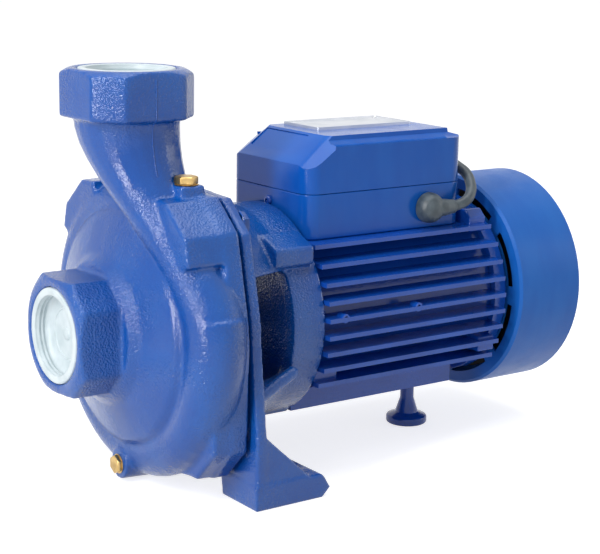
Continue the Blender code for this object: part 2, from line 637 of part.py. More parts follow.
def pump_shaft():
    """Steel shaft that shows through the lantern's windows."""
    front = CASING_REAR + SEAT
    rear = HOUSING_FRONT - SEAT
    turned("pump_shaft", [(front, 0), (front, SHAFT_RADIUS), (rear, SHAFT_RADIUS), (rear, 0)],
           (0, 0, AXIS_HEIGHT), "X", STEEL, segments=24)


def motor_housing():
    """Finned housing with its bottom rail."""
    housing = turned("motor_housing", [(HOUSING_FRONT, 0), (HOUSING_FRONT, HOUSING_RADIUS),
                                       (HOUSING_REAR, HOUSING_RADIUS), (HOUSING_REAR, 0)],
                     (0, 0, AXIS_HEIGHT), "X", PAINT, segments=64)
    for i in range(FIN_COUNT):
        level = TOP_FIN - i * FIN_PITCH
        reach = math.sqrt(FIN_RADIUS ** 2 - level ** 2)
        middle = AXIS_HEIGHT + level
        unite(housing, box(f"fin_{i + 1}", (HOUSING_FRONT, -reach, middle - FIN_THICKNESS / 2),
                           (HOUSING_REAR, reach, middle + FIN_THICKNESS / 2)))
    unite(housing, box("housing_rail", (HOUSING_FRONT, -RAIL_HALF_WIDTH, RAIL_BOTTOM),
                       (HOUSING_REAR - RAIL_SHORT, RAIL_HALF_WIDTH, RAIL_TOP)))


def rear_end_shield():
    """Disc that closes the housing, with a recess for the fan's shaft."""
    recess = SHIELD_REAR - SHIELD_RECESS
    profile = [(SHIELD_FRONT, 0), (SHIELD_FRONT, SHIELD_RADIUS), (SHIELD_REAR - SHIELD_EDGE, SHIELD_RADIUS),
               (SHIELD_REAR, SHIELD_RADIUS - 2 * SHIELD_EDGE), (SHIELD_REAR, SHAFT_BORE),
               (recess, SHAFT_BORE), (recess, 0)]
    turned("rear_end_shield", profile, (0, 0, AXIS_HEIGHT), "X", PAINT, segments=64)


def fan_cover():
    """Moulded cowl with a ring of slots in front and a grille behind."""
    front = SHIELD_REAR + SEAT
    rear = SHIELD_REAR + FAN_COVER_LENGTH
    wall = FAN_COVER_WALL
    edge = rear - FAN_COVER_DOME
    bend = rear - FAN_COVER_DOME / 5
    opening = SHIELD_RADIUS - 4 * SHIELD_EDGE
    outside = [(front, opening), (front, FAN_COVER_RADIUS - wall), (front + wall, FAN_COVER_RADIUS),
               (edge, FAN_COVER_RADIUS), (bend, FAN_COVER_RADIUS - FAN_COVER_ROUND / 2),
               (rear, FAN_COVER_RADIUS - FAN_COVER_ROUND), (rear, 0)]
    inside = [(rear - wall, 0), (rear - wall, FAN_COVER_RADIUS - FAN_COVER_ROUND - wall / 2),
              (bend - wall, FAN_COVER_RADIUS - FAN_COVER_ROUND / 2 - wall / 2),
              (edge - wall / 2, FAN_COVER_RADIUS - wall), (front + wall, FAN_COVER_RADIUS - wall),
              (front + wall, opening)]
    cover = turned("fan_cover", outside + inside, (0, 0, AXIS_HEIGHT), "X", PLASTIC, segments=72)
    pitch = math.tau / VENT_COUNT
    for i in range(VENT_COUNT):
        start = (i + (1 - VENT_SHARE) / 2) * pitch
        end = start + VENT_SHARE * pitch
        outline = arc_points(VENT_OUTER, start, end, 8) + arc_points(VENT_INNER, end, start, 8)
        cut(cover, prism(f"vent_{i + 1}", outline, front - JOIN, front + wall + JOIN, "X"))
    for i in range(GRILLE_SLOTS):
        slot = box(f"grille_{i + 1}", (rear - wall - JOIN, -GRILLE_SLOT_WIDTH / 2, GRILLE_INNER),
                   (rear + JOIN, GRILLE_SLOT_WIDTH / 2, GRILLE_OUTER))
        slot.rotation_euler = (math.tau * i / GRILLE_SLOTS, 0, 0)
        slot.location = (0, 0, AXIS_HEIGHT)
        cut(cover, slot)


def cooling_fan():
    """Fan behind the grille, on the tail of the motor's shaft."""
    tail = SHIELD_REAR - SHIELD_RECESS + SEAT
    front = SHIELD_REAR + FAN_COVER_WALL + FAN_SETBACK
    rear = front + FAN_DEPTH
    fan = turned("cooling_fan", [(tail, 0), (tail, SHAFT_RADIUS), (front, SHAFT_RADIUS), (front, FAN_RADIUS),
                                 (front + FAN_DISC, FAN_RADIUS), (front + 2 * FAN_DISC, FAN_HUB_RADIUS),
                                 (rear, FAN_HUB_RADIUS), (rear, 0)],
                 (0, 0, AXIS_HEIGHT), "X", BLACK, segments=40)
    for i in range(FAN_BLADES):
        blade = box(f"blade_{i + 1}", (front + LEDGE, -FAN_BLADE_THICKNESS / 2, FAN_HUB_RADIUS - JOIN),
                    (rear - LEDGE, FAN_BLADE_THICKNESS / 2, FAN_RADIUS - LEDGE))
        blade.rotation_euler = (math.tau * i / FAN_BLADES, 0, 0)
        blade.location = (0, 0, AXIS_HEIGHT)
        unite(fan, blade)


def terminal_box():
    """Lower box saddled on the housing, and the cover with its raised panel over it."""
    half = BOX_HALF_WIDTH
    plan = rounded(BOX_FRONT, BOX_REAR, -half, half, BOX_CORNER, 4)
    base = prism("terminal_box_base", plan, BOX_BOTTOM, SEAM_LEVEL, "Z", PAINT)
    cut(base, rod("box_saddle", HOUSING_RADIUS + SEAT, BOX_FRONT - JOIN, BOX_REAR + JOIN, (0, AXIS_HEIGHT), "X", 64))
    cover = prism("terminal_box_cover", plan, SEAM_LEVEL + SEAT, BOX_TOP_LEVEL, "Z", PAINT)
    beyond = half + JOIN
    rise = BOX_TOP_LEVEL - SHOULDER_LEVEL
    slope = [(half - CHANNEL_FLOOR, SHOULDER_LEVEL), (PLATEAU_HALF_WIDTH + 2 * CHANNEL_FLOOR, SHOULDER_LEVEL + rise / 6),
             (PLATEAU_HALF_WIDTH + CHANNEL_FLOOR / 2, SHOULDER_LEVEL + rise / 2),
             (PLATEAU_HALF_WIDTH, BOX_TOP_LEVEL + JOIN)]
    right = [(beyond, SEAM_LEVEL), (beyond, SHOULDER_LEVEL)] + slope
    section = right + [(-y, z) for y, z in reversed(right)]
    combine(cover, prism("box_top_form", section, BOX_FRONT - JOIN, BOX_REAR + JOIN, "X"), "INTERSECT")
    nose = AXIS_HEIGHT + BOX_NOSE
    above = BOX_TOP_LEVEL + JOIN
    fall = (BOX_TOP_LEVEL - nose) / PLATEAU_FRONT
    cut(cover, prism("box_nose_cut", [(BOX_FRONT - JOIN, nose - fall * JOIN), (BOX_FRONT + PLATEAU_FRONT + JOIN / fall, above),
                                      (BOX_FRONT - JOIN, above)], -beyond, beyond, "Y"),
        prism("box_tail_cut", [(BOX_REAR + JOIN, SHOULDER_LEVEL), (BOX_REAR + JOIN, above),
                               (BOX_REAR - PLATEAU_REAR, above), (BOX_REAR - PLATEAU_REAR + LEDGE, SHOULDER_LEVEL + rise / 2)],
              -beyond, beyond, "Y"),
        *(half_space(f"box_hip_cut_{side}", (Vector((BOX_FRONT, side * (half - BOX_CORNER), nose)),
                                             Vector((BOX_FRONT + HIP_INSET, side * half, nose - HIP_DROP)),
                                             Vector((BOX_FRONT + PLATEAU_FRONT, side * HIP_TOP, above))))
          for side in (-1, 1)))


def cable_gland(name, side):
    """Rubber boot on the box's side wall with the lead leaving it backward."""
    wall = side * (BOX_HALF_WIDTH + SEAT)
    steps = 6
    dome = [(side * GLAND_LENGTH * math.sin(a), GLAND_RADIUS * math.cos(a)) for a in
            (math.pi / 2 * i / steps for i in range(steps))]
    boot = turned(name, [(0, 0)] + dome + [(side * GLAND_LENGTH, 0)], (GLAND_X, wall, GLAND_LEVEL), "Y",
                  RUBBER, segments=32)
    unite(boot, turned(name + "_spout", [(0, 0), (0, SPOUT_RADIUS), (GLAND_RADIUS, SPOUT_RADIUS - LEDGE),
                                         (GLAND_RADIUS, 0)], (GLAND_X, side * LEAD_OFFSET, GLAND_LEVEL), "X",
                       segments=20))


def lead_route():
    """Centre line of the lead, round the rear end of the terminal box."""
    start = GLAND_X + GLAND_RADIUS + SEAT
    behind = BOX_REAR + LEAD_SWEEP
    near = [(start, -LEAD_OFFSET, 0), (start + LEAD_SWEEP * 0.75, -LEAD_OFFSET, 0),
            (BOX_REAR - 0.003, -LEAD_OFFSET - 0.001, 0.004), (BOX_REAR + 0.006, -0.047, 0.011),
            (behind, -0.036, 0.019), (behind, -0.022, 0.024), (behind - 0.001, -0.010, 0.026)]
    far = [(x, -y, z) for x, y, z in reversed(near)]
    return [Vector((x, y, GLAND_LEVEL + z)) for x, y, z in near + far]


def smooth_points(route, spacing):
    """Even points along a Catmull-Rom curve through the route's points."""
    points = []
    padded = [2 * route[0] - route[1]] + route + [2 * route[-1] - route[-2]]
    for a, b, c, d in zip(padded, padded[1:], padded[2:], padded[3:]):
        steps = max(1, round((c - b).length / spacing))
        for i in range(steps):
            t = i / steps
            points.append(0.5 * (2 * b + (c - a) * t + (2 * a - 5 * b + 4 * c - d) * t ** 2
                                 + (3 * b - a - 3 * c + d) * t ** 3))
    return points + [route[-1]]


def power_lead():
    """Round lead swept along its route."""
    curve = bpy.data.curves.new("power_lead", "CURVE")
    curve.dimensions = "3D"
    curve.bevel_depth = LEAD_RADIUS
    curve.bevel_resolution = 3
    curve.use_fill_caps = True
    points = smooth_points(lead_route(), LEAD_RADIUS * 2.5)
    spline = curve.splines.new("POLY")
    spline.points.add(len(points) - 1)
    for slot, point in zip(spline.points, points):
        slot.co = (*point, 1)
    lead = bpy.data.objects.new("power_lead", curve)
    bpy.context.scene.collection.objects.link(lead)
    curve.materials.append(material(RUBBER))


def rear_foot():
    """Turned prop under the motor."""
    top = RAIL_BOTTOM - SEAT
    profile = [(0, 0), (0, REAR_FOOT_RADIUS - REAR_FOOT_EDGE), (REAR_FOOT_EDGE, REAR_FOOT_RADIUS),
               (REAR_FOOT_PAD - REAR_FOOT_EDGE, REAR_FOOT_RADIUS), (REAR_FOOT_PAD, REAR_FOOT_RADIUS - REAR_FOOT_EDGE),
               (REAR_FOOT_PAD + JOIN, REAR_FOOT_NECK), (REAR_FOOT_CONE, REAR_FOOT_STEM), (top, REAR_FOOT_STEM), (top, 0)]
    turned("rear_foot", profile, (HOUSING_FRONT + REAR_FOOT_SETBACK, 0, 0), "Z", PAINT, segments=40)


def plugs():
    """Brass priming plug on top and drain plug in front."""
    seat = PRIMING_TOP - LEDGE + SEAT
    prism("priming_plug", hexagon(PRIMING_FLATS, (PRIMING_X, PRIMING_SIDE)), seat, seat + PRIMING_HEAD, "Z", BRASS)
    prism("drain_plug", hexagon(DRAIN_FLATS, (DRAIN_SIDE, DRAIN_LEVEL), math.pi / 6),
          DRAIN_FACE - SEAT - DRAIN_HEAD, DRAIN_FACE - SEAT, "X", BRASS)


near_reach = pump_casing()
port_cap("suction_cap", SUCTION_FACE, 1, (0, AXIS_HEIGHT), "X")
port_cap("discharge_cap", DISCHARGE_TOP, -1, (DISCHARGE_X, 0), "Z")
plugs()
gasket()
motor_bracket()
casing_bolts()
pump_shaft()
motor_housing()
rear_end_shield()
fan_cover()
cooling_fan()
terminal_box()
cable_gland("cable_gland", -1)
cable_gland("far_cable_gland", 1)
power_lead()
rear_foot()

to_the_middle = Matrix.Translation((0, -(LEG_HALF_WIDTH + near_reach) / 2, 0))
for made in bpy.data.objects:
    made.data.transform(to_the_middle)
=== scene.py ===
import math
from bisect import bisect_left

import bpy
from mathutils import Matrix, Vector


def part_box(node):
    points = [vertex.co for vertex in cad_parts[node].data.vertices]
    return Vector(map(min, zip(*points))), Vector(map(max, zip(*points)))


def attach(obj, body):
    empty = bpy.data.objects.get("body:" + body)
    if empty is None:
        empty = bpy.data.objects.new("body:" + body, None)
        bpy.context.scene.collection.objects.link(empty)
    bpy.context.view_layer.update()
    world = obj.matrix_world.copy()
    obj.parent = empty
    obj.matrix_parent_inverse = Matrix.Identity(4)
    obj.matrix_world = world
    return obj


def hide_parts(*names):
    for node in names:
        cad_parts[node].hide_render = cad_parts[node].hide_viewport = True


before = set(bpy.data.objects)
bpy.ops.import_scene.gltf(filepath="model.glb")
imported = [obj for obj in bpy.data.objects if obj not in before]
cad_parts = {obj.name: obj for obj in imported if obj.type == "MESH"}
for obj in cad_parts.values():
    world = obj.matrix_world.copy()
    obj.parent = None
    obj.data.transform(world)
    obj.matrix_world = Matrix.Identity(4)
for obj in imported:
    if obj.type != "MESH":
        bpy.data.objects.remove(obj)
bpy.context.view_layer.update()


# The camera. It stands low, to the left of the suction port, and looks along the pump.
# Its lens is long, so that the motor hardly narrows toward the rear.
AZIMUTH = math.radians(-35.571)
ELEVATION = math.radians(12.272)
ROLL = math.radians(0.967)
LENS = 94.28             # mm, over a sensor this wide
SENSOR = 36
MIDDLE = 0.003155        # the pump's upright centre plane, which the spiral pushes off y = 0
STAND = Vector((-0.61998, MIDDLE - 0.86117, 0.35072))

back = Vector((
    math.sin(AZIMUTH) * math.cos(ELEVATION),
    -math.cos(AZIMUTH) * math.cos(ELEVATION),
    math.sin(ELEVATION),
))
level = Vector((math.cos(AZIMUTH), math.sin(AZIMUTH), 0))
upright = level.cross(-back)
right = math.cos(ROLL) * level + math.sin(ROLL) * upright
top = math.cos(ROLL) * upright - math.sin(ROLL) * level
bpy.ops.object.camera_add()
camera = bpy.context.object
camera.name = "camera"
camera.data.lens = LENS
camera.data.sensor_width = SENSOR
camera.matrix_world = Matrix.Translation(STAND) @ Matrix((right, top, back)).transposed().to_4x4()
bpy.context.scene.camera = camera
bpy.context.scene.view_settings.view_transform = "Standard"


# Power lead. A grey rubber lead leaves the near gland, goes round the rear of the terminal box and
# ends in the far gland. It is a curve through the points of the solid that it stands for.
LEAD_RADIUS = 0.00375
LEAD_STEP = 0.009375     # between two knots of the curve
LEAD_SIDE = 0.0528       # from the centre plane, where it leaves its gland
LEAD_LEVEL = 0.170
LEAD_EXIT = (0.07955, -LEAD_SIDE, LEAD_LEVEL)
LEAD_HALF = (
    LEAD_EXIT,
    (0.087425, -LEAD_SIDE, LEAD_LEVEL),
    (0.09875, -0.0538, 0.174),
    (0.10775, -0.047, 0.181),
    (0.11225, -0.036, 0.189),
    (0.11225, -0.022, 0.194),
    (0.11125, -0.010, 0.196),
)
FINE_STEPS = 40
NOISE_LOW = 0.3          # most of a noise pattern lies between these two
NOISE_HIGH = 0.7
RUBBER_DARK = (0.038, 0.054, 0.066, 1)
RUBBER_PALE = (0.075, 0.098, 0.113, 1)


class Signal:
    """A value or colour on its way to a shader, which can be added and multiplied."""

    def __init__(self, finish, socket):
        self.finish = finish
        self.socket = socket

    def worked(self, operation, other):
        return self.finish.node("ShaderNodeMath", {"operation": operation}, {0: self, 1: other})

    def __add__(self, other):
        return self.worked("ADD", other)

    def __mul__(self, other):
        return self.worked("MULTIPLY", other)

    __rmul__ = __mul__


class Finish:
    """A material, built from patterns in the object's own coordinates."""

    def __init__(self, name, **constants):
        self.material = bpy.data.materials.new(name)
        self.material.use_nodes = True
        self.tree = self.material.node_tree
        self.shader = self.tree.nodes["Principled BSDF"]
        self.place = self.node("ShaderNodeTexCoord", output="Object")
        self.set(**constants)

    def node(self, kind, settings=None, sockets=None, output=0):
        made = self.tree.nodes.new(kind)
        for name, value in (settings or {}).items():
            setattr(made, name, value)
        for name, value in (sockets or {}).items():
            self.feed(value, made.inputs[name])
        return Signal(self, made.outputs[output])

    def feed(self, value, socket):
        if isinstance(value, Signal):
            self.tree.links.new(value.socket, socket)
        else:
            socket.default_value = value

    def set(self, **sockets):
        for name, value in sockets.items():
            self.feed(value, self.shader.inputs[name.replace("_", " ")])

    def noise(self, scale, detail=2.0, roughness=0.5, stretch=None):
        place = self.place
        if stretch:
            place = self.node("ShaderNodeMapping", None, {"Vector": place, "Scale": stretch})
        return self.node("ShaderNodeTexNoise", None,
                         {"Vector": place, "Scale": scale, "Detail": detail, "Roughness": roughness})

    def cells(self, scale):
        return self.node("ShaderNodeTexVoronoi", None, {"Vector": self.place, "Scale": scale})

    def spread(self, value, low=NOISE_LOW, high=NOISE_HIGH, start=0.0, end=1.0):
        return self.node("ShaderNodeMapRange", {"interpolation_type": "SMOOTHSTEP"},
                         {"Value": value, "From Min": low, "From Max": high, "To Min": start, "To Max": end})

    def tint(self, share, first, second):
        return self.node("ShaderNodeMix", {"data_type": "RGBA"}, {0: share, 6: first, 7: second}, output=2)

    def relief(self, height, distance, strength=1.0, under=None):
        sockets = {"Height": height, "Distance": distance, "Strength": strength}
        if under:
            sockets["Normal"] = under
        return self.node("ShaderNodeBump", None, sockets)


def smooth_route(points, step):
    """Points at an even step on a smooth curve through the given ones."""
    spots = [2 * points[0] - points[1], *points, 2 * points[-1] - points[-2]]
    fine = []
    for a, b, c, d in zip(spots, spots[1:], spots[2:], spots[3:]):
        for i in range(FINE_STEPS):
            t = i / FINE_STEPS
            fine.append(0.5 * (2 * b + (c - a) * t + (2 * a - 5 * b + 4 * c - d) * t * t
                               + (3 * b - a - 3 * c + d) * t ** 3))
    fine.append(spots[-2])
    travelled = [0.0]
    for near, far in zip(fine, fine[1:]):
        travelled.append(travelled[-1] + (far - near).length)
    count = round(travelled[-1] / step)
    route = []
    for i in range(count + 1):
        goal = travelled[-1] * i / count
        after = min(max(bisect_left(travelled, goal), 1), len(fine) - 1)
        share = (goal - travelled[after - 1]) / (travelled[after] - travelled[after - 1])
        route.append(fine[after - 1].lerp(fine[after], share))
    return route


def show(piece, finish, slot, *nodes):
    """Gives a finished piece its material and its place in the pump."""
    piece.data.materials.clear()
    piece.data.materials.append(finish.material)
    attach(piece, "root")
    if nodes:
        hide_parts(*nodes)


def about_middle(point):
    """A point whose y was measured from the centre plane."""
    return Vector((point[0], point[1] + MIDDLE, point[2]))


rubber = Finish("grey_rubber", Specular_IOR_Level=0.45)
rubber_mottle = rubber.noise(160, detail=3)
rubber_grain = rubber.noise(2600)
rubber.set(
    Base_Color=rubber.tint(rubber.spread(rubber_mottle), RUBBER_DARK, RUBBER_PALE),
    Roughness=rubber.spread(rubber_mottle, start=0.34, end=0.5),
    Normal=rubber.relief(rubber_grain, 0.00012, 0.5),
)

near_half = [about_middle(point) for point in LEAD_HALF]
far_half = [Vector((spot.x, 2 * MIDDLE - spot.y, spot.z)) for spot in reversed(near_half)]
route = smooth_route(near_half + far_half, LEAD_STEP)
lead_curve = bpy.data.curves.new("power_lead_flex", "CURVE")
lead_curve.dimensions = "3D"
lead_curve.bevel_depth = LEAD_RADIUS
lead_curve.bevel_resolution = 5
lead_curve.resolution_u = 8
lead_curve.use_fill_caps = True
spline = lead_curve.splines.new("BEZIER")
spline.bezier_points.add(len(route) - 1)
for knot, spot in zip(spline.bezier_points, route):
    knot.co = spot
    knot.handle_left_type = "AUTO"
    knot.handle_right_type = "AUTO"
lead = bpy.data.objects.new("power_lead_flex", lead_curve)
bpy.context.scene.collection.objects.link(lead)
show(lead, rubber, "grey_rubber", "power_lead")


# The studio. A pale floor runs back out of sight, and the world is white to the camera and in reflections.
# A tall narrow lamp to the left draws the streaks on the casing, one high in front lights the terminal box,
# a broad one hangs above, and a weak one fills from the right.
LAMPS = (                # name, place, the point that it faces, width and height, watts
    ("left_lamp", (-1.357, -0.40, 0.60), (-0.13, 0, 0.17), (0.10, 1.2), 14),
    ("front_lamp", (-1.15, -0.42, 1.18), (0, 0, 0.15), (0.7, 0.5), 5.5),
    ("top_lamp", (0.0, 0.05, 1.5), (0, 0, 0.1), (1.2, 0.9), 10),
    ("right_lamp", (1.4, -0.7, 0.5), (0.05, 0, 0.12), (0.6, 0.6), 2.5),
)
WORLD_LIGHT = 0.40       # on the object; the world is 1 where it is seen
WHITE = (1, 1, 1, 1)
BLACK = (0, 0, 0, 1)
FLOOR_DARK = (0.63, 0.63, 0.635, 1)
FLOOR_PALE = (0.65, 0.65, 0.655, 1)
FLOOR_GLOW = 0.74        # what the floor adds for the camera, so that it reads as white
FLOOR_SIZE = 40
FLOOR_CENTRE = (0, 8, -0.0003)

for name, place, target, size, power in LAMPS:
    bpy.ops.object.light_add(type="AREA", location=place)
    lamp = bpy.context.object
    lamp.name = name
    lamp.data.shape = "RECTANGLE"
    lamp.data.size, lamp.data.size_y = size
    lamp.data.energy = power
    lamp.rotation_euler = (Vector(target) - Vector(place)).to_track_quat("-Z", "Y").to_euler()

world = bpy.context.scene.world or bpy.data.worlds.new("studio")
bpy.context.scene.world = world
world.use_nodes = True
sky = world.node_tree
sky.nodes.clear()
rays = sky.nodes.new("ShaderNodeLightPath")
seen = sky.nodes.new("ShaderNodeMath")
seen.operation = "ADD"
seen_all = sky.nodes.new("ShaderNodeMath")
seen_all.operation = "ADD"
seen_all.use_clamp = True
strength = sky.nodes.new("ShaderNodeMapRange")
strength.inputs["To Min"].default_value = WORLD_LIGHT
strength.inputs["To Max"].default_value = 1.0
ground = sky.nodes.new("ShaderNodeBackground")
ground.inputs["Color"].default_value = WHITE
out = sky.nodes.new("ShaderNodeOutputWorld")
sky.links.new(rays.outputs["Is Camera Ray"], seen.inputs[0])
sky.links.new(rays.outputs["Is Glossy Ray"], seen.inputs[1])
sky.links.new(seen.outputs[0], seen_all.inputs[0])
sky.links.new(rays.outputs["Is Transmission Ray"], seen_all.inputs[1])
sky.links.new(seen_all.outputs[0], strength.inputs["Value"])
sky.links.new(strength.outputs[0], ground.inputs["Strength"])
sky.links.new(ground.outputs[0], out.inputs["Surface"])

floor_finish = Finish("studio_floor", Roughness=0.9, Specular_IOR_Level=0.1, Emission_Strength=FLOOR_GLOW)
watched = floor_finish.node("ShaderNodeLightPath", output="Is Camera Ray")
mirrored = floor_finish.node("ShaderNodeLightPath", output="Is Glossy Ray")
paper = floor_finish.noise(9, detail=3)
floor_finish.set(
    Base_Color=floor_finish.tint(floor_finish.spread(paper), FLOOR_DARK, FLOOR_PALE),
    Emission_Color=floor_finish.tint(watched + mirrored, BLACK, WHITE),
)
bpy.ops.mesh.primitive_plane_add(size=FLOOR_SIZE, location=FLOOR_CENTRE)
floor = bpy.context.object
floor.name = "studio_floor"
floor.data.materials.append(floor_finish.material)
bpy.ops.object.transform_apply()


# Pump casing. One grey-iron casting holds the suction eye, the spiral, the neck and both port bosses.
# Sand moulding leaves its edges soft and its skin grained, and it is sprayed with glossy blue enamel.
CASTING_VOXEL = 0.0013
CASTING_TRIANGLES = 170000
CASTING_SOFTENING = 5
MERGE = 0.00001
DISCHARGE_X = -0.13905
PORT_TOP = 0.269
PARTING_LOW = 0.205
PARTING_HIGH = PORT_TOP - 0.005
PARTING_STEPS = 60
PARTING_START = 0.2      # beside the pump, from where the line is laid on the casing
PARTING_RIDGE = 0.0004
CAST_DARK = (0.002, 0.062, 0.31, 1)
CAST_PALE = (0.004, 0.088, 0.375, 1)


def choose(*pieces):
    """Selects these pieces and nothing else."""
    bpy.ops.object.select_all(action="DESELECT")
    for piece in pieces:
        piece.select_set(True)
    bpy.context.view_layer.objects.active = pieces[0]


def modify(piece, kind, **settings):
    """Adds a modifier, sets it and applies it."""
    choose(piece)
    step = piece.modifiers.new(kind.lower(), kind)
    for name, value in settings.items():
        setattr(step, name, value)
    bpy.ops.object.modifier_apply(modifier=step.name)


def merged(piece):
    """Joins vertices that lie in one place."""
    choose(piece)
    bpy.ops.object.mode_set(mode="EDIT")
    bpy.ops.mesh.select_all(action="SELECT")
    bpy.ops.mesh.remove_doubles(threshold=MERGE)
    bpy.ops.object.mode_set(mode="OBJECT")


def copied(node, name):
    """A merged copy of a CAD node, as the start of the piece that stands for it."""
    piece = bpy.data.objects.new(name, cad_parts[node].data.copy())
    bpy.context.scene.collection.objects.link(piece)
    choose(piece)
    bpy.ops.mesh.customdata_custom_splitnormals_clear()
    merged(piece)
    return piece


def recast(piece, voxel, triangles):
    """One skin over a casting and all that was joined to it, with fillets and soft edges."""
    modify(piece, "REMESH", mode="VOXEL", voxel_size=voxel)
    modify(piece, "SMOOTH", factor=0.5, iterations=CASTING_SOFTENING)
    share = triangles / (2 * len(piece.data.polygons))
    if share < 1:
        modify(piece, "DECIMATE", ratio=share)
    choose(piece)
    bpy.ops.object.shade_smooth()


def painted(name, dark, pale, grain, depth, gloss, patches):
    """Glossy enamel over a grained casting, where the grain is strong in patches and faint between them."""
    made = Finish(name, Specular_IOR_Level=0.45)
    cloud = made.noise(24, detail=3)
    fine = made.noise(grain, roughness=0.55)
    pits = made.cells(grain * 0.8)
    sag = made.noise(130)
    patch = made.spread(made.noise(26, detail=1, roughness=0.4), *patches, start=0.3)
    skin = made.relief(sag, 0.0006, 0.35)
    made.set(
        Base_Color=made.tint(made.spread(cloud + 0.35 * fine, 0.45, 0.95), dark, pale),
        Roughness=made.spread(fine, start=gloss, end=gloss + 0.1),
        Normal=made.relief((fine + 0.5 * pits) * patch, depth, under=skin),
    )
    return made


def seam_ridge(name, side):
    """A thin ridge where two halves of the mould met: a line laid on the neck and given a round section."""
    bpy.ops.mesh.primitive_grid_add(x_subdivisions=1, y_subdivisions=PARTING_STEPS, size=1)
    ridge = bpy.context.object
    ridge.name = ridge.data.name = name
    for vert in ridge.data.vertices:
        height = PARTING_LOW + (vert.co.y + 0.5) * (PARTING_HIGH - PARTING_LOW)
        vert.co = (DISCHARGE_X, side * PARTING_START, height)
    merged(ridge)
    modify(ridge, "SHRINKWRAP", target=casing, wrap_method="PROJECT", use_project_y=True,
           use_positive_direction=side < 0, use_negative_direction=side > 0)
    bpy.ops.object.convert(target="CURVE")
    ridge.data.bevel_depth = PARTING_RIDGE
    ridge.data.bevel_resolution = 2
    bpy.ops.object.convert(target="MESH")
    bpy.ops.object.shade_smooth()
    return ridge


cast_enamel = painted("cast_enamel", CAST_DARK, CAST_PALE, grain=780, depth=0.00055, gloss=0.05,
                      patches=(0.34, 0.58))
casing = copied("pump_casing", "volute_casting")
recast(casing, CASTING_VOXEL, CASTING_TRIANGLES)
show(casing, cast_enamel, "cast_paint", "pump_casing")
show(seam_ridge("neck_parting_line", -1), cast_enamel, "cast_paint")
show(seam_ridge("far_parting_line", 1), cast_enamel, "cast_paint")


# Port caps. A cup of milky white plastic is pushed into each threaded port to keep dirt out.
# Each is moulded with a thin wall, sealing beads inside and a raised ring and pip on its floor.
AXIS_LEVEL = 0.104
SUCTION_FACE = -0.19285
CAP_DEPTH = 0.0125
CAP_SIDES = 96
CAP_STATIONS = (         # radius and height, up the outside, over the rim and down to the floor's middle
    (0.0296, 0), (0.0305, 0.0008), (0.0305, 0.0118), (0.0300, 0.0124), (0.0290, 0.0125),
    (0.0262, 0.0125), (0.0256, 0.0121), (0.0255, 0.0104), (0.0250, 0.0099), (0.0250, 0.0092),
    (0.0255, 0.0087), (0.0255, 0.0078), (0.0250, 0.0073), (0.0250, 0.0066), (0.0255, 0.0061),
    (0.0255, 0.0052), (0.0250, 0.0044), (0.0240, 0.0030), (0.0225, 0.0025), (0.0175, 0.0025),
    (0.0170, 0.0032), (0.0160, 0.0032), (0.0155, 0.0025), (0.0042, 0.0025), (0.0036, 0.0034),
    (0.0020, 0.0037), (0.0004, 0.0038),
)
CAPS = (                 # piece, the node that it replaces, where its mouth faces, the middle of its floor
    ("suction_plug_cap", "suction_cap", (-1, 0, 0), (SUCTION_FACE + CAP_DEPTH, MIDDLE, AXIS_LEVEL)),
    ("discharge_plug_cap", "discharge_cap", (0, 0, 1), (DISCHARGE_X, MIDDLE, PORT_TOP - CAP_DEPTH)),
)
MILK_DARK = (0.50, 0.58, 0.61, 1)
MILK_PALE = (0.60, 0.67, 0.70, 1)


def turned(name, stations, sides, place):
    """A round piece: a disc is extruded and resized from station to station, each a radius and a height."""
    radius, height = stations[0]
    bpy.ops.mesh.primitive_circle_add(vertices=sides, radius=radius, fill_type="NGON",
                                      location=(0, 0, height))
    piece = bpy.context.object
    piece.name = piece.data.name = name
    bpy.ops.object.mode_set(mode="EDIT")
    for wide, high in stations[1:]:
        bpy.ops.mesh.extrude_region_move(TRANSFORM_OT_translate={"value": (0, 0, high - height)})
        bpy.ops.transform.resize(value=(wide / radius, wide / radius, 1), center_override=(0, 0, high))
        radius, height = wide, high
    bpy.ops.mesh.select_all(action="SELECT")
    bpy.ops.mesh.normals_make_consistent(inside=False)
    bpy.ops.object.mode_set(mode="OBJECT")
    bpy.ops.object.transform_apply()
    piece.data.transform(place)
    return piece


def crisp(piece, angle=35):
    """Smooth shading, with edges sharper than the angle kept."""
    choose(piece)
    bpy.ops.object.shade_smooth_by_angle(angle=math.radians(angle))
    return piece


def facing(direction, spot):
    """Place that carries a turned piece's height along a direction, from a spot."""
    return Matrix.Translation(spot) @ Vector(direction).to_track_quat("Z", "Y").to_matrix().to_4x4()


white_plastic = Finish("milky_plastic", Specular_IOR_Level=0.4)
milk = white_plastic.noise(90)
scuff = white_plastic.noise(1900, roughness=0.6)
white_plastic.set(
    Base_Color=white_plastic.tint(white_plastic.spread(milk), MILK_DARK, MILK_PALE),
    Roughness=white_plastic.spread(scuff, start=0.28, end=0.42),
    Normal=white_plastic.relief(scuff, 0.00006, 0.5),
)
for name, node, direction, spot in CAPS:
    cap = turned(name, CAP_STATIONS, CAP_SIDES, facing(direction, spot))
    show(crisp(cap, 50), white_plastic, "white_plastic", node)


# Priming and drain plugs. Each is turned from brass, with a chamfered hexagon and a thin washer face.
# They screw into the priming pad on top and into the boss under the suction port.
PRIMING_FLATS = 0.013
PRIMING_WASHER = 0.0008
DRAIN_FLATS = 0.011
DRAIN_WASHER = 0.0007
HEX_CHAMFER = 0.0007
HEX_EDGE = 0.00025
BRASS_BRIGHT = (0.66, 0.46, 0.19, 1)
BRASS_DULL = (0.45, 0.29, 0.10, 1)


